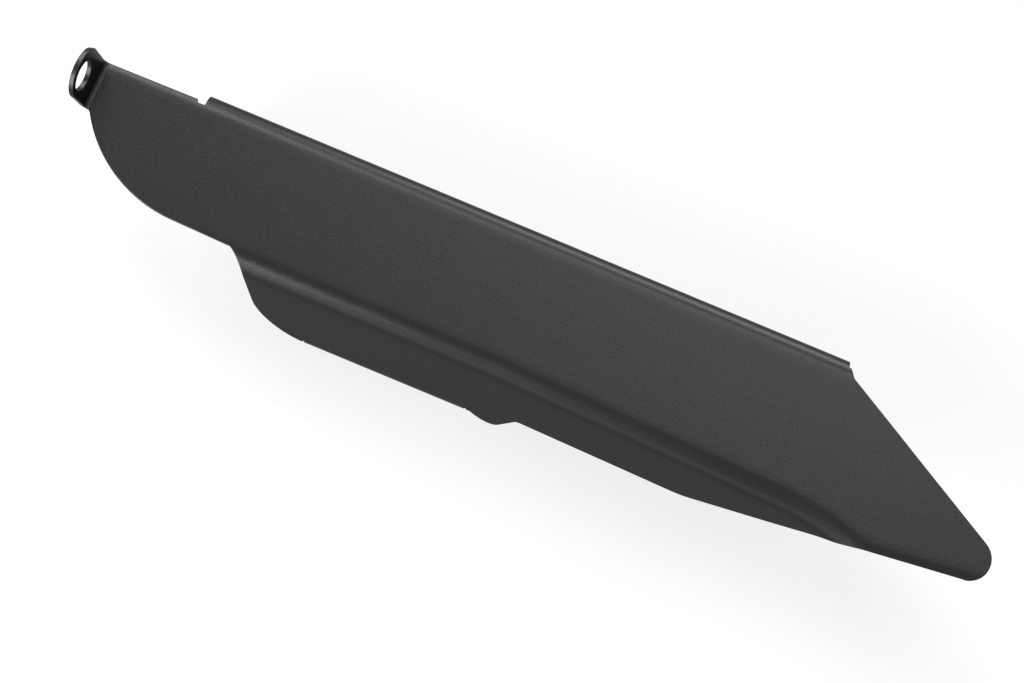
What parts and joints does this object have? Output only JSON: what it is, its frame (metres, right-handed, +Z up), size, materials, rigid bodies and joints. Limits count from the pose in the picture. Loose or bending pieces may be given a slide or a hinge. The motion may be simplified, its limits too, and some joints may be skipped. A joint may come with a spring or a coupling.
{
  "type": "motorcycle chain guard",
  "caption": "Long folded sheet guard for a motorcycle chain, open underneath, with a raised fixing ear, a fixing tab and a pointed rear end.",
  "frame": {"origin": "middle of the fixing hole in the return tab, on the tab's underside, which is the plane that the guard lies on", "axes": "+X along the guard from the ear to the pointed tip, +Y towards the inner flange, +Z up through the flat cover"},
  "size_m": [0.3738, 0.0678, 0.0703],
  "materials": {
    "black_sheet": "fine satin black over bead-blasted aluminium"
  },
  "bodies": {
    "root": {"chain_guard": "black_sheet"}
  },
  "joints": []
}
